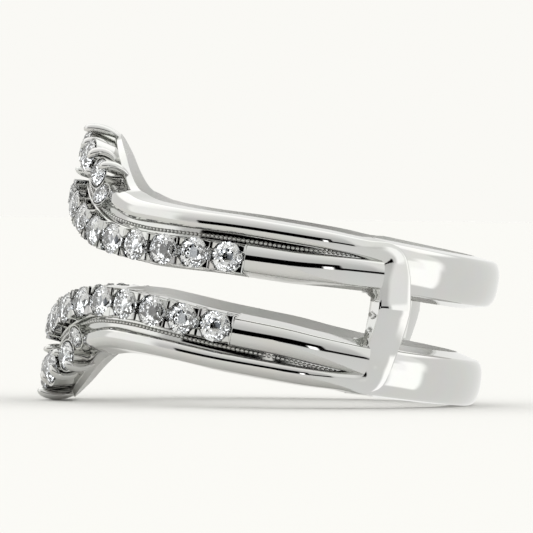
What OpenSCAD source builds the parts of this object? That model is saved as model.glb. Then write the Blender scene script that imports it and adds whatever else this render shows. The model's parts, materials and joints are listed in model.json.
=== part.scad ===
/* [Finger hole] */
// Inside diameter of the finger hole
finger_d = 17.35; // [15:0.05:20]

/* [Shank bands] */
// Thickness of a band at the back
band_t = 1.35; // [1:0.05:2]
// Height of the dome on a band
band_dome = 0.42; // [0.1:0.02:0.5]
// Width of a band at the back
band_w = 2.48; // [1.8:0.01:2.8]
// Extra width of a band beside the bridges
band_flare = 0.12; // [0:0.02:0.5]
// Gap between the two bands
band_gap = 2.1; // [1.8:0.02:3]
// How far a band's wall leans back on the side of the gap
band_gap_slope = 0.2; // [0.05:0.01:0.3]

/* [Bridges] */
// Angle from the middle of the head to the middle of a bridge
bridge_a = 123.1; // [116:0.1:128]
// Width of a bridge round the ring, at its middle
bridge_w = 1.6; // [1.2:0.05:2]
// Height of a bridge above the finger hole
bridge_h = 1.8; // [1.6:0.05:2.2]
// How far a bridge stands off the finger between the two bands
bridge_relief = 1; // [0:0.05:1.1]
// Extra width where a bridge turns into an outer rail, which squares its outer corner
corner_extra = 0.24; // [0:0.02:0.5]

/* [Outer rails] */
// Distance from the ring's middle to the outer edge of an outer rail
rail_reach = 3.74; // [3.6:0.02:4]
// Width of an outer rail
outer_w = 1.02; // [0.8:0.02:1.2]
// Height of an outer rail's crest above the finger hole
outer_h = 1.66; // [1.3:0.02:2]
// Height of the dome on an outer rail and a bridge
outer_dome = 0.4; // [0.2:0.02:0.5]

/* [Inner rails] */
// Distance from the ring's middle to the middle of an inner rail, beside the bridges
inner_z = 1.62; // [1.55:0.01:1.75]
// Width of an inner rail
inner_w = 1.56; // [1.5:0.02:1.66]
// Height of an inner rail's crest above the finger hole
inner_h = 1.76; // [1.6:0.02:2]
// Height of the dome on an inner rail's plain stretch
inner_dome = 0.5; // [0.3:0.02:0.7]
// Height of the recessed floor between an inner and an outer rail
groove_h = 1.0; // [0.7:0.02:1.2]

/* [Rail stones] */
// Diameter of a rail stone
rail_stone_d = 1.42; // [1.2:0.01:1.46]
// Least gap between neighbouring rail stones
rail_stone_gap = 0.2; // [0.15:0.01:0.4]
// Angle from the middle of the head to the end of the row of stones
stone_row_a = 81.9; // [72:0.1:86]
// Diameter of the beads that hold the rail stones
bead_d = 0.36; // [0.28:0.01:0.38]

/* [Crowns] */
// Distance from the ring's middle to the centre stone of a crown
centre_stone_z = 5.4; // [5.3:0.01:5.8]
// Diameter of the centre stone
centre_stone_d = 2; // [1.7:0.01:2.1]
// Diameter of the stone beside the centre stone
side_stone_d = 1.55; // [1.3:0.01:1.6]
// Diameter of the next stone
outer_stone_d = 1.32; // [1.1:0.01:1.4]
// Diameter of the small end stone
end_stone_d = 0.95; // [0.8:0.01:1]
// Height of the centre stone's girdle above the finger hole
crown_h = 1.42; // [1.3:0.02:1.6]
// Height of a crown's base strip above the finger hole
crown_base_h = 0.6; // [0.45:0.01:0.75]
// Diameter of a prong
prong_d = 0.4; // [0.3:0.01:0.44]
// Space between a stone and its setting
seat_gap = 0.05; // [0.03:0.01:0.07]

/* [Hidden] */
sides = ["upper", "lower"];
$fn = 48;

bore_r = finger_d / 2;
// How far the swept bodies start below the finger hole's wall, which trims them
trim = 0.15;
// How much narrower a rail is at the foot of its dome than at the finger hole
wall_slope = 0.1;
metal = [0.86, 0.86, 0.85];
gem = [0.9, 0.95, 1];

// Proportions of a round brilliant, as shares of its diameter
table_share = 0.56;
crown_share = 0.15;
girdle_share = 0.03;
pavilion_share = 0.43;

function on_ring(r, angle, z) = [-r * cos(angle), -r * sin(angle), z];
function arc_angle(length, r) = length / r * 180 / PI;

// A table's rows and then its rows in reverse, with the angles on the other side of the head
function across_head(rows) = concat(rows, [
    for (i = [len(rows) - 2:-1:0]) [for (k = [0:len(rows[i]) - 1]) k == 0 ? -rows[i][k] : rows[i][k]]
]);

// Smooth curve through the rows of a table
function row_at(rows, i) = rows[min(max(i, 0), len(rows) - 1)];
function spline(p0, p1, p2, p3, u) =
    0.5 * (2 * p1 + (p2 - p0) * u + (2 * p0 - 5 * p1 + 4 * p2 - p3) * u * u
    + (3 * p1 - p0 - 3 * p2 + p3) * u * u * u);
function smooth(rows, steps) = [
    for (i = [0:len(rows) - 2])
        for (s = [0:steps - 1])
            spline(row_at(rows, i - 1), rows[i], rows[i + 1], row_at(rows, i + 2), s / steps),
    rows[len(rows) - 1]
];

// Closed body through rings of m points each, which turn clockwise as seen along the way
module skin(points, m, closed = false) {
    n = len(points) / m;
    walls = [
        for (i = [0:(closed ? n - 1 : n - 2)])
            for (j = [0:m - 1])
                let (a = i * m + j, b = i * m + (j + 1) % m, next = (i + 1) % n * m)
                each [[a, b, next + (j + 1) % m], [a, next + (j + 1) % m, next + j]]
    ];
    // An end is closed by strips between the ring's first and last points
    first = [for (j = [0:m - 1]) j];
    last = [for (j = [m - 1:-1:0]) (n - 1) * m + j];
    ends = closed ? [] : [each cap(first), each cap(last)];
    polyhedron(points, concat(walls, ends), convexity = 10);
}
function cap(ring) = let (m = len(ring)) [
    for (k = [0:floor(m / 2) - 1])
        each concat(
            k + 1 < m - 2 - k ? [[ring[m - 1 - k], ring[m - 2 - k], ring[k + 1]]] : [],
            k < m - 2 - k ? [[ring[m - 1 - k], ring[k + 1], ring[k]]] : []
        )
];

// Body swept round the ring. A station starts with its angle and z. Its section is a list of
// [distance to the side of the line, height above the finger hole]
function side_of(a, b) = let (d = [(b[0] - a[0]) * PI / 180 * bore_r, b[1] - a[1]]) [-d[1], d[0]] / norm(d);
module sweep(stations, sections, closed = false) {
    n = len(stations);
    points = [
        for (i = [0:n - 1])
            let (side = side_of(
                stations[closed ? (i + n - 1) % n : max(i - 1, 0)],
                stations[closed ? (i + 1) % n : min(i + 1, n - 1)]
            ))
            for (p = sections[i])
                on_ring(bore_r + p[1], stations[i][0] + arc_angle(side[0] * p[0], bore_r),
                    stations[i][1] + side[1] * p[0])
    ];
    skin(points, len(sections[0]), closed);
}

// Domed section, from half its width at the foot, its crest's height, its dome's height, how far each of
// its walls leans in and its foot's height
function domed(half_w, top, dome, slopes = [wall_slope, wall_slope], foot = -trim) = let (
    w = half_w - (slopes[0] + slopes[1]) / 2,
    middle = (slopes[0] - slopes[1]) / 2
) [
    [-half_w, foot],
    [middle - w, top - dome],
    [middle - 0.8 * w, top - 0.4 * dome],
    [middle - 0.45 * w, top - 0.1 * dome],
    [middle + 0.45 * w, top - 0.1 * dome],
    [middle + 0.8 * w, top - 0.4 * dome],
    [middle + w, top - dome],
    [half_w, foot]
];

// Outer rail and bridge as one loop. Columns of a quarter of it: angle, z, half width, crest height,
// extra width on the outside
loop_quarter = [
    [bridge_a, 0, bridge_w * 0.5, bridge_h, 0],
    [bridge_a - 0.3, rail_reach * 0.33, bridge_w * 0.5, bridge_h, 0],
    [bridge_a - 1.2, rail_reach * 0.6, bridge_w * 0.47, bridge_h, corner_extra * 0.3],
    [bridge_a - 3.6, rail_reach * 0.77, bridge_w * 0.38, bridge_h * 0.98, corner_extra],
    [bridge_a - 10, rail_reach - outer_w * 0.56, outer_w * 0.56, bridge_h * 0.96, -corner_extra * 0.25],
    [bridge_a - 20, rail_reach - outer_w * 0.5, outer_w * 0.5, outer_h * 1.02, 0],
    [bridge_a - 32, rail_reach - outer_w * 0.5, outer_w * 0.5, outer_h, 0],
    [78, rail_reach - outer_w * 0.53, outer_w * 0.5, outer_h, 0],
    [66, rail_reach - outer_w * 0.62, outer_w * 0.52, outer_h, 0],
    [55, rail_reach - outer_w * 0.66, outer_w * 0.55, outer_h * 0.98, 0],
    [45, rail_reach - outer_w * 0.64, outer_w * 0.6, outer_h * 0.94, 0],
    [37, centre_stone_z * 0.6, outer_w * 0.6, outer_h * 0.86, 0],
    [32, centre_stone_z * 0.64, outer_w * 0.64, outer_h * 0.74, 0],
    [26, centre_stone_z * 0.73, outer_w * 0.76, outer_h * 0.5, 0],
    [18, centre_stone_z * 0.845, outer_w * 0.98, crown_base_h, 0],
    [9, centre_stone_z * 0.925, outer_w * 1.08, crown_base_h, 0],
    [0, centre_stone_z * 0.955, outer_w * 1.12, crown_base_h, 0]
];
loop_half = across_head(smooth(loop_quarter, 2));
loop_line = concat(loop_half, [
    for (i = [len(loop_half) - 2:-1:1]) [for (k = [0:4]) k == 1 ? -loop_half[i][k] : loop_half[i][k]]
]);
loop_inner_edge = [for (s = smooth([for (i = [len(loop_quarter) - 1:-1:3]) loop_quarter[i]], 2)) [s[0], s[1] - s[2]]];

function loop_section(s) =
    let (foot = abs(s[1]) < inner_z - inner_w / 2 ? bridge_relief : -trim)
    [
        for (p = domed(s[2], s[3], min(outer_dome, s[3] / 2), foot = foot))
            [p[0] < 0 ? p[0] - s[4] : p[0], p[1]]
    ];
module outer_loop() {
    sweep(loop_line, [for (s = loop_line) loop_section(s)], closed = true);
}

// Line of an inner rail. Columns: angle, z
inner_line = smooth([
    [0, centre_stone_z * 0.585],
    [8, centre_stone_z * 0.555],
    [15, centre_stone_z * 0.475],
    [23, inner_z * 1.31],
    [32, inner_z * 1.03],
    [40, inner_z * 0.91],
    [50, inner_z * 0.86],
    [60, inner_z * 0.9],
    [72, inner_z * 0.97],
    [84, inner_z * 1.01],
    [bridge_a, inner_z]
], 4);
function inner_rail_z(angle) = lookup(abs(angle), inner_line);

// How far the rail stones' girdles lie below the plain stretch's crest
girdle_drop = 0.08;
rail_girdle_h = inner_h - girdle_drop;
// The rail under the stones, with an almost flat top just below their girdles
shelf_h = rail_girdle_h - rail_stone_d * girdle_share / 2 - seat_gap / 2;
shelf_dome = 0.1;

// Section with a foot that reaches to one side, under the outer rail
function footed(section, foot) = concat(
    [for (k = [0:len(section) - 2]) section[k]],
    [[section[len(section) - 1][0], groove_h], [foot, groove_h], [foot, -2 * trim]]
);
function inner_section(angle) =
    let (
        plain = abs(angle) > stone_row_a,
        section = plain ? domed(inner_w / 2, inner_h, inner_dome) : domed(inner_w / 2, shelf_h, shelf_dome),
        foot = lookup(abs(angle), loop_inner_edge) - inner_rail_z(angle) + outer_w * 0.2
    )
    footed([for (p = section) [p[0], p[1] < 0 ? -2 * trim : p[1]]], max(foot, inner_w * 0.6));

// Angles of an inner rail's stations: plain stretch, row of stones, plain stretch
inner_end_a = bridge_a - 1.5;
plain_steps = 7;
row_steps = 36;
step_gap_a = 0.3;
plain_angles = [
    for (i = [0:plain_steps]) inner_end_a + (stone_row_a + step_gap_a - inner_end_a) * i / plain_steps
];
inner_angles = [
    for (a = plain_angles) -a,
    for (i = [0:row_steps]) stone_row_a * (2 * i / row_steps - 1),
    for (i = [plain_steps:-1:0]) plain_angles[i]
];
module inner_rail() {
    sweep([for (a = inner_angles) [a, inner_rail_z(a)]], [for (a = inner_angles) inner_section(a)]);
}

// A shank band, from inside one bridge round the back to inside the other
band_steps = 24;
band_start_a = bridge_a - 5.5;
band_slopes = [band_gap_slope, wall_slope];
module band() {
    angles = [for (i = [0:band_steps]) band_start_a + (360 - 2 * band_start_a) * i / band_steps];
    widths = [for (a = angles) band_w + band_flare * pow(abs(a - 180) / (180 - band_start_a), 2)];
    stations = [for (i = [0:band_steps]) [angles[i], (band_gap + widths[i]) / 2]];
    sections = [
        for (w = widths)
            [for (p = domed(w / 2, band_t, band_dome, band_slopes)) [p[0], p[1] < 0 ? -3 * trim : p[1]]]
    ];
    sweep(stations, sections);
}

// Where a stone sits: [height of its girdle, angle, z, angle that it faces, lean outwards, diameter]
module at_stone(s) {
    translate(on_ring(bore_r + s[0], s[1], s[2])) rotate([0, s[4] - 90, s[3]]) children();
}

// Rail stones, evenly spaced in each half of the row
rail_row_half = floor(stone_row_a * PI / 180 * (bore_r + rail_girdle_h) / (rail_stone_d + rail_stone_gap));
rail_pitch = stone_row_a / rail_row_half;
rail_places = [
    for (i = [-rail_row_half:rail_row_half - 1])
        let (a = (i + 0.5) * rail_pitch) [rail_girdle_h, a, inner_rail_z(a), a, 0, rail_stone_d]
];

// Crown stones step outwards and down from the centre stone. Columns: this stone's diameter, the one
// before's, gap, slope of the step, girdle height, how much further than its angle it faces, lean
crown_table = [
    [centre_stone_d, 0, 0, 0, crown_h, 0, 7],
    [side_stone_d, centre_stone_d, prong_d * 1.3, 9, crown_h * 1.02, 8, 6],
    [outer_stone_d, side_stone_d, prong_d * 0.95, 23, crown_h * 0.88, 9, 5],
    [end_stone_d, outer_stone_d, prong_d * 0.45, 46, crown_h * 0.92, 10, 20]
];
function crown_xy(k) = k == 0 ? [0, centre_stone_z] :
    let (t = crown_table[k], step = (t[0] + t[1]) / 2 + t[2]) crown_xy(k - 1) + step * [cos(t[3]), -sin(t[3])];
function crown_place(k, turn = 1) =
    let (t = crown_table[k], p = crown_xy(k), a = turn * arc_angle(p[0], bore_r + crown_h))
    [t[4], a, p[1], a + turn * t[5], t[6], t[0]];

// Round brilliant with its girdle on the origin and its table up
module brilliant(d) {
    r = d / 2;
    crown = d * crown_share;
    girdle = d * girdle_share / 2;
    pavilion = d * pavilion_share;
    table_r = r * table_share;
    star_r = r * 0.8;
    star_z = girdle + crown * (r - star_r * cos(22.5)) / (r - table_r);
    main_r = r * 0.24;
    main_z = -girdle - pavilion * (1 - main_r * cos(22.5) / r);
    function turned(k, radius, z) = [radius * cos(22.5 * k), radius * sin(22.5 * k), z];
    points = [
        for (k = [0:7]) turned(2 * k, table_r, girdle + crown),
        for (k = [0:7]) turned(2 * k + 1, star_r, star_z),
        for (k = [0:15]) turned(k, r, girdle),
        for (k = [0:15]) turned(k, r, -girdle),
        for (k = [0:7]) turned(2 * k + 1, main_r, main_z),
        [0, 0, -girdle - pavilion]
    ];
    star = 8;
    top = 16;
    bottom = 32;
    main = 48;
    culet = 56;
    faces = [
        [7, 6, 5, 4, 3, 2, 1, 0],
        for (k = [0:7])
            let (n = (k + 1) % 8, g = 2 * k)
            each [
                [k, n, star + k],
                [star + k, n, star + n, top + 2 * n],
                [star + k, top + g + 1, top + g],
                [star + k, top + 2 * n, top + g + 1],
                [main + k, bottom + g, bottom + g + 1],
                [main + k, bottom + g + 1, bottom + 2 * n],
                [culet, main + k, bottom + 2 * n, main + n]
            ],
        for (k = [0:15]) let (n = (k + 1) % 16) [top + k, top + n, bottom + n, bottom + k]
    ];
    polyhedron(points, faces);
}

// Space for a stone and its clearance
module seat(d) {
    depth = d * (girdle_share / 2 + pavilion_share) + seat_gap * 1.5;
    translate([0, 0, -depth]) cylinder(r1 = 0, r2 = (d + seat_gap) / 2, h = (d + seat_gap) * pavilion_share);
    translate([0, 0, -d * girdle_share - seat_gap]) cylinder(r = d / 2 + seat_gap, h = 1);
}

// Cup that carries a crown stone
module cup(s) {
    d = s[5];
    foot = s[0] - crown_base_h / 2;
    at_stone(s)
        translate([0, 0, -foot])
            cylinder(r1 = d * 0.43, r2 = d / 2, h = foot - d * girdle_share - seat_gap);
}

// Where a prong stands clear of two stones: the meeting point, on one side, of two circles round them
function between(a, ra, b, rb, way) =
    let (
        dist = norm(b - a),
        along = (dist * dist + ra * ra - rb * rb) / (2 * dist),
        off = sqrt(max(ra * ra - along * along, 0)),
        u = (b - a) / dist
    )
    a + u * along + way * off * [-u[1], u[0]];
prong_clear = prong_d / 2 + 2 * seat_gap;
function shared_prong(k, way) =
    between(crown_xy(k), crown_table[k][0] / 2 + prong_clear,
        crown_xy(k + 1), crown_table[k + 1][0] / 2 + prong_clear, way);
function lone_prong(k, angle) =
    crown_xy(k) + (crown_table[k][0] / 2 + prong_clear) * [sin(angle), cos(angle)];

// Prongs of half a crown. Columns: place along and across the head, height of the tip, bow outwards
prong_tip_h = crown_h + centre_stone_d * 0.18;
tip_prong = lone_prong(0, 48);
tip_bow = prong_d * 0.4;
crown_prongs = [
    [tip_prong, prong_tip_h, tip_bow],
    [lone_prong(0, 158), prong_tip_h * 1.04, 0],
    [shared_prong(0, 1), prong_tip_h, tip_bow],
    [shared_prong(0, -1), prong_tip_h, 0],
    [shared_prong(1, 1), prong_tip_h * 0.97, tip_bow],
    [shared_prong(1, -1), prong_tip_h * 0.95, 0],
    [lone_prong(2, 70), prong_tip_h * 0.89, 0]
];
knee_h = crown_h * 0.8;
function prong_at(p, h, turn) = on_ring(bore_r + h, turn * arc_angle(p[0], bore_r + crown_h), p[1]);
// Width and thickness along a prong from its foot to its tip, as shares of prong_d
prong_sizes = [[0.85, 0.7], [0.92, 0.8], [1, 0.92], [1.1, 1.05], [1.12, 1.05], [0.95, 0.9], [0.4, 0.4]];
prong_sides = 8;
function prong_path(p, turn) =
    let (
        foot = prong_at(p[0] - [0, p[2] * 1.6 + prong_d / 4], crown_base_h / 2, turn),
        knee = prong_at(p[0] + [0, p[2]], knee_h, turn)
    )
    smooth([foot, (foot + knee) / 2, knee, prong_at(p[0], p[1], turn)], 2);
function prong_points(p, turn) =
    let (
        path = prong_path(p, turn),
        end = len(path) - 1,
        a = turn * arc_angle(p[0][0], bore_r + crown_h),
        across = [sin(a), -cos(a), 0]
    )
    [
        for (i = [0:end])
            let (
                way = path[min(i + 1, end)] - path[max(i - 1, 0)],
                face = cross(way, across) / norm(way)
            )
            for (k = [0:prong_sides - 1])
                let (t = (k + 0.5) * 360 / prong_sides)
                path[i] + prong_d / 2 * (prong_sizes[i][0] * cos(t) * across - prong_sizes[i][1] * sin(t) * face)
    ];
module crown_prong(p, turn) {
    skin(prong_points(p, turn), prong_sides);
}

// Two beads in each space of the row of rail stones, and two at each end
bead_inset = 0.04;
end_bead_back_a = 1;
module rail_beads() {
    for (i = [-rail_row_half:rail_row_half])
        for (way = [-1, 1]) {
            a = i * rail_pitch - sign(i) * (abs(i) == rail_row_half ? end_bead_back_a : 0);
            slope = atan2(inner_rail_z(a + 1) - inner_rail_z(a - 1), 2 * PI / 180 * (bore_r + rail_girdle_h));
            off = way * (inner_w / 2 - bead_d / 2 - bead_inset);
            translate(on_ring(bore_r + shelf_h / 2, a - arc_angle(off * sin(slope), bore_r + rail_girdle_h),
                inner_rail_z(a) + off * cos(slope)))
                rotate([0, -90, a])
                    cylinder(d = bead_d, h = shelf_h / 2 + seat_gap + rail_stone_d * crown_share / 2);
        }
}

// One half of the casting, before the stones' seats are cut
module upper_half() {
    inner_rail();
    band();
    rail_beads();
    cup(crown_place(0));
    for (turn = [-1, 1]) {
        for (k = [1:3]) cup(crown_place(k, turn));
        for (p = crown_prongs) crown_prong(p, turn);
    }
}
module upper_seats() {
    for (s = rail_places) at_stone(s) seat(s[5]);
    at_stone(crown_place(0)) seat(centre_stone_d);
    for (turn = [-1, 1], k = [1:3]) at_stone(crown_place(k, turn)) seat(crown_table[k][0]);
}

// The ring lies on the lower crown's end prongs and on the back of the lower band
all_prong_points = [for (p = crown_prongs) each prong_points(p, 1)];
back_x = bore_r + band_t - band_dome;
back_z = band_gap / 2 + band_w - wall_slope;
rest_tilt = max([for (v = all_prong_points) atan2(v[2] - back_z, back_x - v[0])]);
rest_height = back_x * sin(rest_tilt) + back_z * cos(rest_tilt);
// The origin is under the middle of the whole length, from a lower prong's tip to the upper band's back
front_x = min([for (v = all_prong_points) v[0] * cos(rest_tilt) - v[2] * sin(rest_tilt)]);
far_back_x = max([
    for (p = domed(band_w / 2, band_t, band_dome, band_slopes))
        (bore_r + p[1]) * cos(rest_tilt) + ((band_gap + band_w) / 2 + p[0]) * sin(rest_tilt)
]);
module resting() {
    translate([-(front_x + far_back_x) / 2, 0, rest_height]) rotate([0, rest_tilt, 0]) children();
}

module ring_frame() {
    color(metal)
    difference() {
        union() {
            outer_loop();
            upper_half();
            mirror([0, 0, 1]) upper_half();
        }
        cylinder(r = bore_r, h = 4 * centre_stone_z, center = true);
        upper_seats();
        mirror([0, 0, 1]) upper_seats();
    }
}
module on_side(side) {
    if (side == "upper") children();
    else mirror([0, 0, 1]) children();
}
module rail_stones(side) {
    color(gem) on_side(side) for (s = rail_places) at_stone(s) brilliant(s[5]);
}
module crown_stone(side, k, turn = 1) {
    color(gem) on_side(side) at_stone(crown_place(k, turn)) brilliant(crown_table[k][0]);
}

resting() ring_frame();
for (side = sides) {
    resting() rail_stones(side);
    resting() crown_stone(side, 0);
    for (turn = [1, -1]) {
        place = turn > 0 ? "near" : "far";
        resting() crown_stone(side, 1, turn);
        resting() crown_stone(side, 2, turn);
        resting() crown_stone(side, 3, turn);
    }
}
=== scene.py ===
import json
import math

import bmesh
import bpy
from mathutils import Matrix, Vector

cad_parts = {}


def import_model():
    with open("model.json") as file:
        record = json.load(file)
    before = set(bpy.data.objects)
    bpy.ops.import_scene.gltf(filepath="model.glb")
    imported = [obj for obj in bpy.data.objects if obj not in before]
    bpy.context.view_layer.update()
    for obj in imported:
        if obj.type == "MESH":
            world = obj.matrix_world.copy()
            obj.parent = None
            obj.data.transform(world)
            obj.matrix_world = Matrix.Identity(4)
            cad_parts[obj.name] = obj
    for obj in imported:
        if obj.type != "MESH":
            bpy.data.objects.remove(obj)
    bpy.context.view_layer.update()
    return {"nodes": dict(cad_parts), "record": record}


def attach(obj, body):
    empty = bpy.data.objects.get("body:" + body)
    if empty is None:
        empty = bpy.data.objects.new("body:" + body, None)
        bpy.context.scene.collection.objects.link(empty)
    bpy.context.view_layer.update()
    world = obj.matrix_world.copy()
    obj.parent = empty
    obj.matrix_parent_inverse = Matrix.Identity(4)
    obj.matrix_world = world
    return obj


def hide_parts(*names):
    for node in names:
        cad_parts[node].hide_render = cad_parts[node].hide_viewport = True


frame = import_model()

# The finger hole gives the ring's place: its shapes are worked out in millimetres round the hole's
# axis, with the head at angle 0, and PLACE lays them on the floor.
bore = next(m for m in frame["record"]["mounts"] if m["name"] == "finger_bore")
BORE_R = bore["dims"]["r_mm"]
TILT = math.atan2(bore["axis"][0], bore["axis"][2])
PLACE = Matrix.Translation(bore["pos_m"]) @ Matrix.Rotation(TILT, 4, "Y") @ Matrix.Scale(0.001, 4)
BACK = PLACE.inverted()
MIRROR_Z = Matrix.Diagonal((1, 1, -1, 1))
SIDES = (1, -1)

# Sizes of the casting in millimetres. A name that ends in _A is an angle in degrees, one in _H a height
# above the finger hole's surface, and one in _Z a distance from the plane half way between the bands.
BAND_T, BAND_W, BAND_GAP, BAND_DOME = 1.35, 2.48, 2.1, 0.5
# How much wider a band is beside the bridges than at the back
BAND_FLARE = 0.12
# How far a side wall leans in. A band's leans in more towards the gap than on its other side
WALL_SLOPE = 0.1
BAND_SLOPES = (0.22, 0.1)
BRIDGE_A, BRIDGE_W, BRIDGE_H = 123.1, 1.6, 1.8
# How far a bridge's underside stands off the finger, and where it comes down to it at each end
BRIDGE_RELIEF = 1.0
RELIEF_ENDS_Z = (0.95, 1.25)
CORNER_EXTRA = 0.24
# Angle from a bridge's middle to just past its corner
CORNER_A = 3.7
# How far the crease across a bridge lies above its middle
CREASE_Z = 0.5
RAIL_REACH, OUTER_W, OUTER_H = 3.65, 1.0, 1.66
INNER_Z, INNER_W, INNER_H = 1.62, 1.56, 1.76
GROOVE_H = 1.0
CROWN_Z, CROWN_H, CROWN_BASE_H = 5.4, 1.42, 0.6
PRONG_D = 0.4
# The row of small stones: half its angle, half its number of stones, and their girdles' height
ROW_A = 81.9
ROW_HALF = 9
ROW_PITCH = ROW_A / ROW_HALF
GIRDLE_H = INNER_H - 0.08
# Depth of a stone below its girdle as a share of its diameter, and the room round it in its seat
PAVILION_SHARE = 0.43
SEAT_GAP = 0.05
# Faces whose corners all lie this close to the finger hole's surface get the inside copy of the metal, which
# is rougher and painted lighter to stand in for light in the finger hole
INSIDE_DEPTH = 0.06
# Edges sharper than this stay sharp
SHARP_ANGLE = math.radians(38)
# Steps between two rows of a table that a spline runs through
LOOP_STEPS, GALLERY_STEPS, INNER_STEPS = 5, 5, 6


def on_ring(height, angle, z):
    """Place at a height above the finger hole, in millimetres."""
    a, r = math.radians(angle), BORE_R + height
    return Vector((-r * math.cos(a), -r * math.sin(a), z))


def arc_angle(length, r):
    return math.degrees(length / r)


def mix(a, b, t):
    return a + (b - a) * t


def spread(low, high, steps):
    return [mix(low, high, i / steps) for i in range(steps + 1)]


def smoothstep(low, high, x):
    t = min(max((x - low) / (high - low), 0), 1)
    return t * t * (3 - 2 * t)


def spline_rows(rows, steps):
    """Smooth curve through the rows of a table, with steps between each two rows."""
    made = []
    for i in range(len(rows) - 1):
        p0, p1 = rows[max(i - 1, 0)], rows[i]
        p2, p3 = rows[i + 1], rows[min(i + 2, len(rows) - 1)]
        for s in range(steps):
            u = s / steps
            made.append(tuple(
                0.5 * (2 * b + (c - a) * u + (2 * a - 5 * b + 4 * c - d) * u * u
                       + (3 * b - a - 3 * c + d) * u ** 3)
                for a, b, c, d in zip(p0, p1, p2, p3)))
    return made + [tuple(rows[-1])]


def lookup(rows, x):
    """Second column of a table at x, which lies between two of its rows."""
    x = min(max(x, rows[0][0]), rows[-1][0])
    for a, b in zip(rows, rows[1:]):
        if x <= b[0]:
            return mix(a[1], b[1], (x - a[0]) / (b[0] - a[0]))
    return rows[-1][1]


# Mesh tools

def outline(bm, places):
    verts = [bm.verts.new(p) for p in places]
    edges = [bm.edges.new(pair) for pair in zip(verts, verts[1:] + verts[:1])]
    return verts, edges


def extrude_through(bm, rings, closed=False):
    """Extrudes the first ring of places through the others, and closes the ends or joins them."""
    verts, edges = outline(bm, rings[0])
    first = edges
    for places in rings[1:]:
        grown = set(bmesh.ops.extrude_edge_only(bm, edges=edges)["geom"])
        new = [next(e.other_vert(v) for e in v.link_edges if e.other_vert(v) in grown) for v in verts]
        for v, place in zip(new, places):
            v.co = place
        edges = [bm.edges.get(pair) for pair in zip(new, new[1:] + new[:1])]
        verts = new
    if closed:
        bmesh.ops.bridge_loops(bm, edges=first + edges)
    else:
        for ring in (first, edges):
            bmesh.ops.contextual_create(bm, geom=ring)


def sweep(bm, stations, sections, closed=False):
    """Sweeps an outline round the ring. A station is (angle, z); its section has pairs of
    (distance to the side, height above the finger hole)."""
    n = len(stations)
    rings = []
    for i, (angle, z) in enumerate(stations):
        a = stations[(i - 1) % n if closed else max(i - 1, 0)]
        b = stations[(i + 1) % n if closed else min(i + 1, n - 1)]
        way = Vector((math.radians(b[0] - a[0]) * BORE_R, b[1] - a[1])).normalized()
        rings.append([
            on_ring(height, angle + arc_angle(-way.y * side, BORE_R), z + way.x * side)
            for side, height in sections[i]])
    extrude_through(bm, rings, closed)


def add(bm, part, matrix):
    """Adds a part's shape to a piece, placed by the matrix."""
    part.transform(matrix)
    mesh = bpy.data.meshes.new("part")
    part.to_mesh(mesh)
    part.free()
    bm.from_mesh(mesh)
    bpy.data.meshes.remove(mesh)


def finish_piece(name, bm):
    """Makes the object in metal, lays it in the ring's place and hangs it on the ring's body."""
    bmesh.ops.recalc_face_normals(bm, faces=bm.faces)
    bm.transform(PLACE)
    mesh = bpy.data.meshes.new(name)
    bm.to_mesh(mesh)
    bm.free()
    mesh.polygons.foreach_set("use_smooth", [True] * len(mesh.polygons))
    mesh.set_sharp_from_angle(angle=SHARP_ANGLE)
    piece = bpy.data.objects.new(name, mesh)
    bpy.context.scene.collection.objects.link(piece)
    mesh.materials.append(white_gold)
    mesh.materials.append(white_gold_painted_light_inside)
    # Faces in the finger hole get the rougher copy of the metal, painted lighter as painted light
    for face in mesh.polygons:
        reach = max((BACK @ mesh.vertices[i].co).xy.length for i in face.vertices)
        if reach < BORE_R + INSIDE_DEPTH:
            face.material_index = 1
    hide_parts("ring_frame")
    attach(piece, "root")


def finish_side(name, bm, side):
    """Finishes a piece of the upper half, or its mirror image in the lower half."""
    if side < 0:
        bm.transform(MIRROR_Z)
    finish_piece(f"{name}_{'upper' if side > 0 else 'lower'}", bm)


# Materials

def new_material(name):
    material = bpy.data.materials.new(name)
    material.use_nodes = True
    return material, material.node_tree.nodes["Principled BSDF"]


def math_node(tree, operation, *inputs):
    """Result of a Math node whose inputs are sockets or numbers."""
    node = tree.nodes.new("ShaderNodeMath")
    node.operation = operation
    for socket, given in zip(node.inputs, inputs):
        if isinstance(given, (int, float)):
            socket.default_value = given
        else:
            tree.links.new(given, socket)
    return node.outputs["Value"]


# Share of the polishing marks in the metal's tone and in its roughness
MARKS_IN_TONE, MARKS_IN_ROUGHNESS = 0.06, 0.03
MARKS_SCALE, MARKS_DEPTH = 900, 0.1
BUMP_STRENGTH, BUMP_METRES = 0.04, 0.00001


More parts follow.
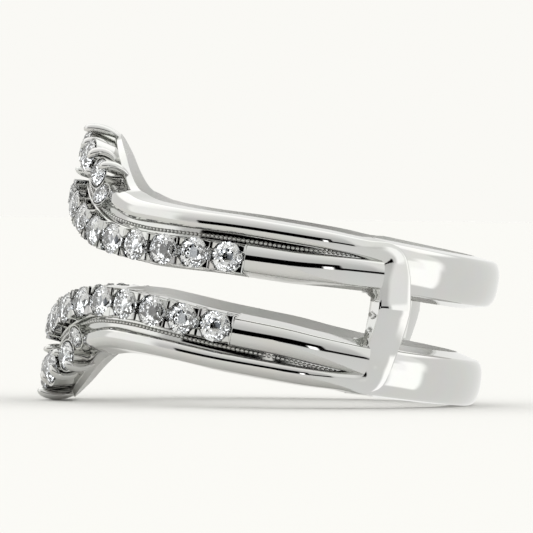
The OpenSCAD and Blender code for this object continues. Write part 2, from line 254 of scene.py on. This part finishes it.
def polish_group():
    """Fine polishing marks and a faint change of tone, for the metal."""
    group = bpy.data.node_groups.new("polished_metal", "ShaderNodeTree")
    for name, kind, default in (("Scale", "NodeSocketFloat", 900.0), ("Depth", "NodeSocketFloat", 0.1),
                                ("Colour", "NodeSocketColor", (0.6, 0.6, 0.6, 1)),
                                ("Roughness", "NodeSocketFloat", 0.05)):
        socket = group.interface.new_socket(name, in_out="INPUT", socket_type=kind)
        socket.default_value = default
    for name, kind in (("Colour", "NodeSocketColor"), ("Roughness", "NodeSocketFloat"),
                       ("Height", "NodeSocketFloat")):
        group.interface.new_socket(name, in_out="OUTPUT", socket_type=kind)
    nodes, links = group.nodes, group.links
    given, out = nodes.new("NodeGroupInput"), nodes.new("NodeGroupOutput")
    place = nodes.new("ShaderNodeTexCoord")
    marks = nodes.new("ShaderNodeTexNoise")
    marks.inputs["Detail"].default_value = 3
    links.new(place.outputs["Object"], marks.inputs["Vector"])
    links.new(given.outputs["Scale"], marks.inputs["Scale"])
    tone = nodes.new("ShaderNodeMix")
    tone.data_type = "RGBA"
    tone.blend_type = "MULTIPLY"
    tone.inputs["Factor"].default_value = MARKS_IN_TONE
    links.new(given.outputs["Colour"], tone.inputs["A"])
    links.new(marks.outputs["Color"], tone.inputs["B"])
    links.new(tone.outputs["Result"], out.inputs["Colour"])
    rough = math_node(group, "MULTIPLY_ADD", marks.outputs["Fac"], MARKS_IN_ROUGHNESS,
                      given.outputs["Roughness"])
    links.new(rough, out.inputs["Roughness"])
    links.new(math_node(group, "MULTIPLY", marks.outputs["Fac"], given.outputs["Depth"]),
              out.inputs["Height"])
    return group


POLISH = polish_group()


def metal_material(name, colour, roughness):
    material, shader = new_material(name)
    tree = material.node_tree
    polish = tree.nodes.new("ShaderNodeGroup")
    polish.node_tree = POLISH
    polish.inputs["Scale"].default_value = MARKS_SCALE
    polish.inputs["Depth"].default_value = MARKS_DEPTH
    polish.inputs["Colour"].default_value = (*colour, 1)
    polish.inputs["Roughness"].default_value = roughness
    bump = tree.nodes.new("ShaderNodeBump")
    bump.inputs["Strength"].default_value = BUMP_STRENGTH
    bump.inputs["Distance"].default_value = BUMP_METRES
    shader.inputs["Metallic"].default_value = 1
    tree.links.new(polish.outputs["Colour"], shader.inputs["Base Color"])
    tree.links.new(polish.outputs["Roughness"], shader.inputs["Roughness"])
    tree.links.new(polish.outputs["Height"], bump.inputs["Height"])
    tree.links.new(bump.outputs["Normal"], shader.inputs["Normal"])
    return material


def diamond_material():
    material, shader = new_material("diamond")
    shader.inputs["Base Color"].default_value = (0.97, 0.985, 1, 1)
    shader.inputs["Roughness"].default_value = 0.0
    shader.inputs["IOR"].default_value = 2.42
    shader.inputs["Transmission Weight"].default_value = 1
    return material


white_gold = metal_material("white_gold", (0.64, 0.64, 0.625), 0.03)
# The inside copy of the metal is rougher and painted a little lighter than the rest: painted light for the
# finger hole's inside
white_gold_painted_light_inside = metal_material("white_gold_painted_light_inside", (0.66, 0.66, 0.645), 0.4)
diamond = diamond_material()


# Outer rails and bridges: one closed loop

def domed(half_w, top, dome, foot=0.0, skew=0.0, power=2.0, slopes=(WALL_SLOPE, WALL_SLOPE), extra=0.0,
          steps=16):
    """Section with straight walls and a rounded top, flatter in the middle for a greater power. Its crest
    may lie to one side. A dome may have one height on its first side and another on its second."""
    low, high = slopes[0] - half_w - extra, half_w - slopes[1]
    middle, w = (low + high) / 2, (high - low) / 2
    domes = dome if isinstance(dome, tuple) else (dome, dome)
    arc = []
    for k in range(steps + 1):
        t = math.pi * k / steps
        c, s = math.cos(t), math.sin(t)
        across = -math.copysign(abs(c) ** (2 / power), c)
        drop = domes[c < 0] * (1 - s ** (2 / power))
        arc.append((middle + w * across + skew * s * s, top - drop))
    return [(-half_w - extra, foot)] + arc + [(half_w, foot)]


# Columns of a quarter: angle, z, half width, crest height, dome on the outside, dome on the side of the
# opening, skew of the crest towards the opening, extra width on the outside
LOOP_QUARTER = [
    (BRIDGE_A, 0, BRIDGE_W * 0.5, BRIDGE_H + 0.06, 0.05, 0.1, -0.12, 0),
    (BRIDGE_A - 0.3, RAIL_REACH * 0.33, BRIDGE_W * 0.5, BRIDGE_H - 0.17, 0.05, 0.1, -0.12, 0),
    (BRIDGE_A - 1.2, RAIL_REACH * 0.6, BRIDGE_W * 0.47, BRIDGE_H - 0.4, 0.05, 0.1, -0.1, CORNER_EXTRA * 0.3),
    (BRIDGE_A - 3.6, RAIL_REACH * 0.77, BRIDGE_W * 0.38, BRIDGE_H - 0.42, 0.08, 0.14, -0.03, CORNER_EXTRA),
    (BRIDGE_A - 10, RAIL_REACH - OUTER_W * 0.56, OUTER_W * 0.56, BRIDGE_H - 0.36, 0.16, 0.26, 0.06,
     -CORNER_EXTRA * 0.25),
    (BRIDGE_A - 20, RAIL_REACH - OUTER_W * 0.5, OUTER_W * 0.5, OUTER_H, 0.24, 0.26, 0.07, 0),
    (BRIDGE_A - 32, RAIL_REACH - OUTER_W * 0.5, OUTER_W * 0.5, OUTER_H, 0.26, 0.26, 0.06, 0),
    (78, RAIL_REACH - OUTER_W * 0.53, OUTER_W * 0.5, OUTER_H, 0.28, 0.28, 0.06, 0),
    (66, RAIL_REACH - OUTER_W * 0.62, OUTER_W * 0.52, OUTER_H, 0.32, 0.32, 0.06, 0),
    (55, RAIL_REACH - OUTER_W * 0.66, OUTER_W * 0.55, OUTER_H * 0.98, 0.4, 0.4, 0.06, 0),
    (45, RAIL_REACH - OUTER_W * 0.64, OUTER_W * 0.6, OUTER_H * 0.94, 0.5, 0.5, 0.05, 0),
    (37, CROWN_Z * 0.6, OUTER_W * 0.6, OUTER_H * 0.86, 0.5, 0.5, 0.03, 0),
    (32, CROWN_Z * 0.615, OUTER_W * 0.58, OUTER_H * 0.74, 0.45, 0.45, 0.02, 0),
    (26, CROWN_Z * 0.66, OUTER_W * 0.52, OUTER_H * 0.6, 0.35, 0.35, 0, 0),
    (18, CROWN_Z * 0.72, OUTER_W * 0.45, OUTER_H * 0.4, 0.25, 0.25, 0, 0),
    (9, CROWN_Z * 0.76, OUTER_W * 0.4, CROWN_BASE_H, 0.2, 0.2, 0, 0),
    (0, CROWN_Z * 0.78, OUTER_W * 0.4, CROWN_BASE_H, 0.2, 0.2, 0, 0),
]
QUARTER = spline_rows(LOOP_QUARTER, LOOP_STEPS)


def whole_loop():
    """The quarter, mirrored to all four."""
    half = QUARTER + [(-a, *rest) for a, *rest in reversed(QUARTER[:-1])]
    return half + [(a, -z, *rest) for a, z, *rest in reversed(half[1:-1])]


# Distance of an outer rail's inner side from the middle, by angle
LOOP_INNER_EDGE = [(a, z - w) for a, z, w, *_ in reversed(QUARTER) if z > RAIL_REACH * 0.7]
# Height of a bridge's crest, by the distance from its crease
BRIDGE_CREST = [(z, top) for a, z, _, top, *_ in QUARTER if a > BRIDGE_A - CORNER_A]


def bridge_foot(z):
    return BRIDGE_RELIEF * (1 - smoothstep(*RELIEF_ENDS_Z, abs(z)))


def crest_height(z, height):
    """The crest falls both ways from the bridge's crease, and past the corners it is the table's."""
    if abs(z) > BRIDGE_CREST[-1][0]:
        return height
    return lookup(BRIDGE_CREST, abs(z - CREASE_Z))


def outer_rails():
    bm = bmesh.new()
    loop = whole_loop()
    sections = [domed(w, crest_height(z, top), (dome_out, dome_in), foot=bridge_foot(z), skew=skew,
                      power=2.3, extra=extra)
                for _, z, w, top, dome_out, dome_in, skew, extra in loop]
    sweep(bm, [(a, z) for a, z, *_ in loop], sections, closed=True)
    finish_piece("outer_rails_and_bridges", bm)


# Inner rails. Columns of the line along their middle: angle, z

INNER_LINE = spline_rows([
    (0, CROWN_Z * 0.585),
    (8, CROWN_Z * 0.555),
    (15, CROWN_Z * 0.475),
    (23, INNER_Z * 1.31),
    (32, INNER_Z * 1.03),
    (40, INNER_Z * 0.91),
    (50, INNER_Z * 0.86),
    (60, INNER_Z * 0.9),
    (72, INNER_Z * 0.97),
    (84, INNER_Z * 1.01),
    (95, INNER_Z * 1.04),
    (106, INNER_Z * 1.12),
    (BRIDGE_A, INNER_Z * 1.2),
], INNER_STEPS)
# Where the inner rails end inside the bridges
INNER_END_A = BRIDGE_A - 4.8
PLAIN_DOME, TROUGH_DOME = 0.3, 0.12
PLAIN_SLOPES, RIM_SLOPES = (0.22, 0.05), (0.2, 0.05)
# The low rim where the plain stretch meets the row of stones. Columns: angle from the row's end, rise
RIM = ((-0.5, -0.05), (-0.3, 0.03), (0, 0.03), (0.2, -0.02))
# How far the trough's top lies below the girdles, and the height of the recessed floor's underside
TROUGH_DEPTH = 0.42
FLOOR_FOOT_H = 0.02


def inner_z(angle):
    return lookup(INNER_LINE, abs(angle))


def inner_rail(side):
    """Half-round plain stretches, the trough of the row of stones and the recessed floor beside it."""
    bm = bmesh.new()
    half_w = INNER_W / 2
    for turn in SIDES:
        angles = sorted(turn * a for a in spread(ROW_A + 0.15, INNER_END_A, steps=20))
        plain = domed(half_w, INNER_H, PLAIN_DOME, power=2.1, slopes=PLAIN_SLOPES)
        sweep(bm, [(a, inner_z(a)) for a in angles], [plain] * len(angles))
        rim = sorted((turn * (ROW_A + a), h) for a, h in RIM)
        sweep(bm, [(a, inner_z(a)) for a, _ in rim],
              [domed(half_w + h / 2, INNER_H + h, PLAIN_DOME, power=2.4, slopes=RIM_SLOPES) for _, h in rim])
    angles = spread(-ROW_A, ROW_A, steps=110)
    trough = domed(half_w, GIRDLE_H - TROUGH_DEPTH, TROUGH_DOME, power=3.0)
    sweep(bm, [(a, inner_z(a)) for a in angles], [trough] * len(angles))
    floor_angles = spread(-INNER_END_A, INNER_END_A, steps=140)
    under_rail = INNER_W * 0.3
    sections = []
    for a in floor_angles:
        outside = max(lookup(LOOP_INNER_EDGE, abs(a)) - inner_z(a) + OUTER_W * 0.2, INNER_W * 0.6)
        sections.append([(under_rail, FLOOR_FOOT_H), (under_rail, GROOVE_H), (outside, GROOVE_H),
                         (outside, FLOOR_FOOT_H)])
    sweep(bm, [(a, inner_z(a)) for a in floor_angles], sections)
    finish_side("inner_rail", bm, side)


# Claws that hold the rail stones: two each side of every gap, with a cut between them. A claw is a block
# with four corners below and four above; columns: distance from the cut, distance in from the rail's edge

CLAW_CUT, CLAW_ROUND = 0.035, 0.045
# The claws' outer sides lie this far in from the foot of the rail's wall
CLAW_INSET = WALL_SLOPE + 0.01
CLAW_FOOT = ((0, 0), (0.46, 0), (0.12, 0.5), (0, 0.52))
CLAW_TOP = ((0.02, 0.05), (0.32, 0.07), (0.12, 0.34), (0.02, 0.38))
CLAW_FOOT_H, CLAW_TOP_H = GIRDLE_H - 0.75, GIRDLE_H + 0.1
CUBE_CORNERS = ((-0.5, 0.5), (0.5, 0.5), (0.5, -0.5), (-0.5, -0.5))


def claw(bm, angle, across, way):
    """One claw at a gap. Across is +1 or -1 for the rail's edge, way is the side of the gap's cut."""
    r = BORE_R + GIRDLE_H
    slope = math.atan2(inner_z(angle + 1) - inner_z(angle - 1), 2 * math.radians(1) * r)
    half_w = INNER_W / 2 - CLAW_INSET
    made = bmesh.ops.create_cube(bm, size=1)["verts"]
    for v in made:
        corners, height = (CLAW_TOP, CLAW_TOP_H) if v.co.z > 0 else (CLAW_FOOT, CLAW_FOOT_H)
        along, inwards = corners[CUBE_CORNERS.index((v.co.x, v.co.y))]
        s, w = way * (CLAW_CUT + along), across * (half_w - inwards)
        a = angle + arc_angle(s * math.cos(slope) - w * math.sin(slope), r)
        v.co = on_ring(height, a, inner_z(angle) + s * math.sin(slope) + w * math.cos(slope))
    edges = list({e for v in made for e in v.link_edges})
    bmesh.ops.bevel(bm, geom=edges, offset=CLAW_ROUND, segments=3, affect="EDGES", profile=0.5,
                    material=-1)


def rail_claws(side):
    bm = bmesh.new()
    for i in range(-ROW_HALF, ROW_HALF + 1):
        for across in SIDES:
            for way in SIDES:
                if abs(i) < ROW_HALF or i * way < 0:
                    claw(bm, i * ROW_PITCH, across, way)
    finish_side("rail_claws", bm, side)


# Beaded edge along the recessed floor

BEAD_D, BEAD_PITCH = 0.19, 0.21
# How far a bead's middle lies off the inner rail's side and above the floor
BEAD_OFF, BEAD_UP = 0.08, 0.05
BEADS_END_A = BRIDGE_A - 4


def beaded_edge(side):
    bm = bmesh.new()
    angle = -BEADS_END_A
    while angle < BEADS_END_A:
        at = on_ring(GROOVE_H + BEAD_UP, angle, inner_z(angle) + INNER_W / 2 + BEAD_OFF)
        bmesh.ops.create_icosphere(bm, subdivisions=2, radius=BEAD_D / 2, matrix=Matrix.Translation(at))
        angle += arc_angle(BEAD_PITCH, BORE_R + GROOVE_H)
    finish_side("beaded_edge", bm, side)


# Shank bands. They start inside the bridges

BAND_START_A = BRIDGE_A - 5.5


def shank_band(side):
    bm = bmesh.new()
    start = BAND_START_A
    angles = spread(start, 360 - start, steps=72)
    widths = [BAND_W + BAND_FLARE * (abs(a - 180) / (180 - start)) ** 2 for a in angles]
    stations = [(a, (BAND_GAP + w) / 2) for a, w in zip(angles, widths)]
    sections = [domed(w / 2, BAND_T, BAND_DOME, power=2.4, slopes=BAND_SLOPES, steps=24) for w in widths]
    sweep(bm, stations, sections)
    finish_side("shank_band", bm, side)


# Crowns. Stones step outwards and down from the centre stone. Columns: diameter, gap before it,
# slope of the step, girdle height, how many degrees further than its place it faces, lean
STONES = [
    (2.0, 0, 0, CROWN_H, 0, 7),
    (1.55, PRONG_D * 1.3, 9, CROWN_H * 1.02, 8, 6),
    (1.32, PRONG_D * 0.95, 23, CROWN_H * 0.88, 9, 5),
    (0.95, PRONG_D * 0.45, 46, CROWN_H * 0.92, 10, 20),
]


def crown_xy(k):
    if k == 0:
        return Vector((0, CROWN_Z))
    d, gap, slope = STONES[k][:3]
    step = (d + STONES[k - 1][0]) / 2 + gap
    a = math.radians(slope)
    return crown_xy(k - 1) + step * Vector((math.cos(a), -math.sin(a)))


def crown_matrix(k, turn):
    """Matrix that brings +Z to the way that a crown stone faces, and the origin to its girdle."""
    *_, height, further, lean = STONES[k]
    p = crown_xy(k)
    a = turn * arc_angle(p.x, BORE_R + CROWN_H)
    return (Matrix.Translation(on_ring(height, a, p.y))
            @ Matrix.Rotation(math.radians(a + turn * further), 4, "Z")
            @ Matrix.Rotation(math.radians(lean - 90), 4, "Y"))


# A cup's rim is this much thicker than the stone's seat, its top lies below the girdle, and its foot,
# narrower by a share of the stone's diameter, stands off the finger
CUP_RIM, CUP_BELOW_GIRDLE, CUP_FOOT_H, CUP_FOOT_SHARE = 0.06, 0.02, 0.1, 0.46


def cup(bm, k, turn):
    """Conical cup with a rim round the stone's girdle and a seat inside."""
    d, _, _, height = STONES[k][:4]
    depth = height - CUP_FOOT_H
    rim_r = d / 2 + SEAT_GAP + CUP_RIM
    part = bmesh.new()
    made = bmesh.ops.create_cone(part, cap_ends=True, segments=40, radius1=d * CUP_FOOT_SHARE,
                                 radius2=rim_r, depth=depth)
    bmesh.ops.translate(part, verts=made["verts"], vec=(0, 0, -depth / 2 - CUP_BELOW_GIRDLE))
    top = max(part.faces, key=lambda f: f.calc_center_median().z)
    # The rim's flat top, its inner wall and the seat's cone
    for inwards, down in ((0.05, 0), (0.012, 0.05), (rim_r * 0.75, d * PAVILION_SHARE)):
        bmesh.ops.inset_region(part, faces=[top], thickness=inwards)
        bmesh.ops.translate(part, verts=list(top.verts), vec=(0, 0, -down))
    add(bm, part, crown_matrix(k, turn))


def oval_rod(bm, places, widths, thicks, out, corners=12):
    """Tapered rod through places, oval across. out is the way that its flat side faces."""
    rings = []
    n = len(places)
    for i, p in enumerate(places):
        way = (places[min(i + 1, n - 1)] - places[max(i - 1, 0)]).normalized()
        across = way.cross(out).normalized()
        face = across.cross(way).normalized()
        rings.append([
            p + across * (widths[i] / 2 * math.cos(t)) + face * (thicks[i] / 2 * math.sin(t))
            for t in (2 * math.pi * k / corners for k in range(corners))])
    extrude_through(bm, rings)


def bezier(points, steps):
    def at(points, t):
        while len(points) > 1:
            points = [a.lerp(b, t) for a, b in zip(points, points[1:])]
        return points[0]
    return [at(points, t) for t in spread(0, 1, steps)]


# Distance from a stone's girdle to the middle of a prong
PRONG_CLEAR = PRONG_D / 2 + 2 * SEAT_GAP


def between(k, way):
    """Where a prong shared by two stones stands: the point clear of both."""
    a, b = crown_xy(k), crown_xy(k + 1)
    ra, rb = STONES[k][0] / 2 + PRONG_CLEAR, STONES[k + 1][0] / 2 + PRONG_CLEAR
    dist = (b - a).length
    along = (dist * dist + ra * ra - rb * rb) / (2 * dist)
    off = math.sqrt(max(ra * ra - along * along, 0))
    u = (b - a) / dist
    return a + u * along + way * off * Vector((-u.y, u.x))


def beside(k, angle):
    """Where a prong of one stone stands, at an angle from the crown's tip."""
    a = math.radians(angle)
    return crown_xy(k) + (STONES[k][0] / 2 + PRONG_CLEAR) * Vector((math.sin(a), math.cos(a)))


TIP_H = CROWN_H + 0.16
# Half of a crown's prongs. Columns: place, height of the tip, bow outwards, stones that it leans over
PRONGS = [
    (beside(0, 46), TIP_H, 0.05, (0,)),
    (beside(0, 158), TIP_H * 1.04, 0, (0,)),
    (between(0, 1), TIP_H, 0.22, (0, 1)),
    (between(0, -1), TIP_H, 0, (0, 1)),
    (between(1, 1), TIP_H * 0.97, 0.2, (1, 2)),
    (between(1, -1), TIP_H * 0.95, 0, (1, 2)),
    (beside(2, 70), TIP_H * 0.88, 0.08, (2,)),
]


PRONG_STEPS = 14
# A prong's last three steps narrow to a round tip. Columns: steps from the end, share of the width
PRONG_TIP = ((0, 0.4), (1, 0.72), (2, 0.92))


def crown_prong(bm, place, height, bow, stones, turn):
    """Petal-shaped prong that swells half way up and leans over its stones."""
    centre = sum((crown_xy(k) for k in stones), Vector((0, 0))) / len(stones)
    lean = (centre - place).normalized()

    def at(p, h):
        return on_ring(h, turn * arc_angle(p.x, BORE_R + CROWN_H), p.y)

    foot = place - Vector((0, bow * 2 + 0.12))
    out = place + Vector((0, bow * 2.2))
    path = bezier([at(foot, 0.05), at(foot.lerp(out, 0.7), height * 0.3), at(out, height * 0.62),
                   at(place + Vector((0, bow)), height * 1.06), at(place + lean * 0.2, height * 1.08)],
                  PRONG_STEPS)
    swell = [math.sin(math.pi * (0.06 + 0.72 * (i / PRONG_STEPS) ** 0.9)) for i in range(PRONG_STEPS + 1)]
    widths = [PRONG_D * mix(0.4, 1.25, s) for s in swell]
    thicks = [PRONG_D * mix(0.25, 1.15, s) for s in swell]
    for steps, share in PRONG_TIP:
        widths[-1 - steps] *= share
        thicks[-1 - steps] *= share
    oval_rod(bm, path, widths, thicks, Vector((0, 0, 1)))


# The gallery strip on the finger side of a crown. Columns: angle, z, half width, height
GALLERY_HALF = [
    (0, CROWN_Z * 1.09, 0.42, 0.3),
    (9, CROWN_Z * 1.046, 0.45, 0.3),
    (18, CROWN_Z * 0.944, 0.45, 0.32),
    (26, CROWN_Z * 0.796, 0.4, 0.36),
    (32, CROWN_Z * 0.694, 0.36, 0.42),
    (37, CROWN_Z * 0.645, 0.33, 0.5),
    (44, CROWN_Z * 0.61, 0.28, 0.5),
]
GALLERY_DOME = 0.12


def gallery(bm):
    half = spline_rows(GALLERY_HALF, GALLERY_STEPS)
    rows = [(-a, *rest) for a, *rest in reversed(half[1:])] + half
    sweep(bm, [(a, z) for a, z, *_ in rows], [domed(w, h, GALLERY_DOME) for *_, w, h in rows])


def crown(side):
    bm = bmesh.new()
    gallery(bm)
    for k in range(len(STONES)):
        for turn in SIDES if k else (1,):
            cup(bm, k, turn)
    for place, height, bow, stones in PRONGS:
        for turn in SIDES:
            crown_prong(bm, place, height, bow, stones, turn)
    finish_side("crown_setting", bm, side)


outer_rails()
for side in SIDES:
    inner_rail(side)
    rail_claws(side)
    beaded_edge(side)
    shank_band(side)
    crown(side)

for name, node in frame["nodes"].items():
    if "stone" in name:
        node.data.materials.clear()
        node.data.materials.append(diamond)


# Camera. The photo's size in pixels, its scale and where the finger hole's middle lies in it

PHOTO_SIZE = 533
PX_PER_MM = 21.25
RING_PX = (279.5, 297.7)
CAMERA_DISTANCE = 0.38
CAMERA_YAW = math.radians(2.6)
CAMERA_RISE = math.radians(0.5)
CAMERA_ROLL = math.radians(0.7)


def camera():
    """Aims at the point of the ring's plane that the middle of the picture shows."""
    data = bpy.data.cameras.new("camera")
    data.sensor_width = 36
    width = PHOTO_SIZE / PX_PER_MM * 0.001
    data.lens = data.sensor_width * CAMERA_DISTANCE / width
    data.clip_start, data.clip_end = 0.01, 20
    eye = bpy.data.objects.new("camera", data)
    look = Vector((-math.sin(CAMERA_YAW) * math.cos(CAMERA_RISE),
                   math.cos(CAMERA_YAW) * math.cos(CAMERA_RISE), -math.sin(CAMERA_RISE)))
    level = look.cross(Vector((0, 0, 1))).normalized()
    right = level * math.cos(CAMERA_ROLL) + level.cross(look) * math.sin(CAMERA_ROLL)
    up = right.cross(look)
    half = PHOTO_SIZE / 2
    aim = (Vector(bore["pos_m"]) + right * ((half - RING_PX[0]) / PX_PER_MM * 0.001)
           + up * ((RING_PX[1] - half) / PX_PER_MM * 0.001))
    eye.location = aim - look * CAMERA_DISTANCE
    eye.rotation_mode = "QUATERNION"
    eye.rotation_quaternion = Matrix((right, up, -look)).transposed().to_quaternion()
    bpy.context.scene.collection.objects.link(eye)
    bpy.context.scene.camera = eye


# Floor. How far from the ring's middle the polished metal still mirrors it, in front and to the right:
# past that it mirrors the cards that stand there, out of the picture
MIRRORED_FRONT = 0.1
MIRRORED_RIGHT = 0.005
FLOOR_SIZE = 3


def floor_material():
    material, shader = new_material("pale_floor")
    shader.inputs["Base Color"].default_value = (0.79, 0.785, 0.765, 1)
    shader.inputs["Roughness"].default_value = 0.9
    shader.inputs["Specular IOR Level"].default_value = 0.0
    return material


def floor():
    material = floor_material()
    far, front, right = FLOOR_SIZE, -MIRRORED_FRONT, MIRRORED_RIGHT
    for name, corners, mirrored in (
            ("floor", ((-far, front), (right, front), (right, far), (-far, far)), True),
            ("floor_right", ((right, -far), (far, -far), (far, far), (right, far)), False),
            ("floor_front", ((-far, -far), (right, -far), (right, front), (-far, front)), False)):
        bm = bmesh.new()
        bmesh.ops.contextual_create(bm, geom=[bm.verts.new((*corner, 0)) for corner in corners])
        mesh = bpy.data.meshes.new(name)
        bm.to_mesh(mesh)
        bm.free()
        mesh.materials.append(material)
        piece = bpy.data.objects.new(name, mesh)
        piece.visible_glossy = mirrored
        bpy.context.scene.collection.objects.link(piece)


# Light

def band_mask(tree, value, low, high, soft):
    """1 where a value lies between low and high, with soft edges."""
    rise = tree.nodes.new("ShaderNodeMapRange")
    fall = tree.nodes.new("ShaderNodeMapRange")
    for node, at, ends in ((rise, low, (0, 1)), (fall, high, (1, 0))):
        node.interpolation_type = "SMOOTHSTEP"
        node.inputs["From Min"].default_value = at - soft
        node.inputs["From Max"].default_value = at + soft
        node.inputs["To Min"].default_value, node.inputs["To Max"].default_value = ends
        tree.links.new(value, node.inputs["Value"])
    return math_node(tree, "MULTIPLY", rise.outputs["Result"], fall.outputs["Result"])


def paint(tree, under, mask, colour):
    node = tree.nodes.new("ShaderNodeMix")
    node.data_type = "RGBA"
    tree.links.new(mask, node.inputs["Factor"])
    tree.links.new(under, node.inputs["A"])
    node.inputs["B"].default_value = (*colour, 1)
    return node.outputs["Result"]


def fill_ramp(ramp, stops):
    """Gives a colour ramp its stops, pairs of place and colour."""
    while len(ramp.elements) < len(stops):
        ramp.elements.new(0.5)
    for stop, (place, colour) in zip(ramp.elements, stops):
        stop.position = place
        stop.color = (*colour, 1)


# The studio round the ring, with angles in degrees. STUDIO is the backdrop's colour in the picture.
STUDIO = (0.955, 0.947, 0.913)
# Tones on the way over the ring, from the camera's side at 0 to the far side at 180
TONES = [(-180, 0.95), (-60, 0.95), (-6, 0.92), (10, 0.7), (26, 0.8), (40, 0.95), (56, 1.05),
         (72, 1.15), (90, 1.4), (120, 1.6), (150, 1.6), (180, 0.95)]
TONE_WARMTH = 0.985
# Cards that the metal mirrors, each over those before it. Azimuth is 0 towards the camera and grows
# towards the ring's back. Columns: azimuth from, to, height from, to, softness, colour
CARDS = [
    (95, 185, -90, 32, 5, (0.95, 0.95, 0.93)),
    (-185, -100, -90, 32, 5, (0.95, 0.95, 0.93)),
    (54, 98, 3, 50, 4, (1.14, 1.14, 1.12)),
    (70.5, 94, -28, 1, 2.5, (1.6, 1.6, 1.58)),
    (79, 96, -4, 11, 4, (1.6, 1.6, 1.58)),
    (58, 82, -6, 5, 2, (1.5, 1.5, 1.48)),
    (-100, -62, -12, 40, 5, (1.3, 1.3, 1.28)),
    (-48, 32, -4, 13, 1, (0.0, 0.0, 0.0)),
    (30, 54, -3.5, 3, 1, (0.0, 0.0, 0.0)),
    (22, 27, -4, 3, 1, (2.5, 2.5, 2.5)),
]
# What the stones' facets show: dark, plain and bright cells by turns. Columns: where its share starts,
# colour
CELLS_SCALE = 4.5
CELL_TONES = [
    (0, (0.0, 0.0, 0.0)),
    (0.44, (0.3, 0.32, 0.35)),
    (0.56, (0.9, 0.92, 0.95)),
    (0.72, (3.2, 3.25, 3.3)),
]


def world():
    """Light from the studio: the metal sees tones and cards, the stones' facets see the cells, and the
    camera sees the plain backdrop."""
    made = bpy.data.worlds.new("studio")
    made.use_nodes = True
    bpy.context.scene.world = made
    tree = made.node_tree
    nodes, links = tree.nodes, tree.links
    nodes.clear()
    place = nodes.new("ShaderNodeTexCoord")
    split = nodes.new("ShaderNodeSeparateXYZ")
    links.new(place.outputs["Generated"], split.inputs["Vector"])
    across, away, up = (split.outputs[axis] for axis in "XYZ")
    near = math_node(tree, "MULTIPLY", away, -1)
    azimuth = math_node(tree, "DEGREES", math_node(tree, "ARCTAN2", across, near))
    height = math_node(tree, "DEGREES", math_node(tree, "ARCSINE", up))
    over = math_node(tree, "DEGREES", math_node(tree, "ARCTAN2", up, near))
    # The ramp's 0 to 1 stands for -180 to 180 degrees
    ramp = nodes.new("ShaderNodeValToRGB")
    links.new(math_node(tree, "MULTIPLY_ADD", over, 1 / 360, 0.5), ramp.inputs["Fac"])
    fill_ramp(ramp.color_ramp,
              [(angle / 360 + 0.5, (tone, tone, tone * TONE_WARMTH)) for angle, tone in TONES])
    colour = ramp.outputs["Color"]
    for low_a, high_a, low_h, high_h, soft, tone in CARDS:
        mask = math_node(tree, "MULTIPLY", band_mask(tree, azimuth, low_a, high_a, soft),
                         band_mask(tree, height, low_h, high_h, soft))
        colour = paint(tree, colour, mask, tone)
    lit = nodes.new("ShaderNodeBackground")
    links.new(colour, lit.inputs["Color"])
    cells = nodes.new("ShaderNodeTexVoronoi")
    cells.inputs["Scale"].default_value = CELLS_SCALE
    links.new(place.outputs["Generated"], cells.inputs["Vector"])
    facets = nodes.new("ShaderNodeValToRGB")
    facets.color_ramp.interpolation = "CONSTANT"
    fill_ramp(facets.color_ramp, CELL_TONES)
    links.new(cells.outputs["Color"], facets.inputs["Fac"])
    sparkle = nodes.new("ShaderNodeBackground")
    links.new(facets.outputs["Color"], sparkle.inputs["Color"])
    seen = nodes.new("ShaderNodeBackground")
    seen.inputs["Color"].default_value = (*STUDIO, 1)
    path = nodes.new("ShaderNodeLightPath")
    choose = nodes.new("ShaderNodeMixShader")
    through = nodes.new("ShaderNodeMixShader")
    links.new(path.outputs["Is Transmission Ray"], through.inputs["Fac"])
    links.new(lit.outputs["Background"], through.inputs[1])
    links.new(sparkle.outputs["Background"], through.inputs[2])
    links.new(path.outputs["Is Camera Ray"], choose.inputs["Fac"])
    links.new(through.outputs["Shader"], choose.inputs[1])
    links.new(seen.outputs["Background"], choose.inputs[2])
    out = nodes.new("ShaderNodeOutputWorld")
    links.new(choose.outputs["Shader"], out.inputs["Surface"])


camera()
floor()
world()
bpy.context.scene.view_settings.view_transform = "Standard"
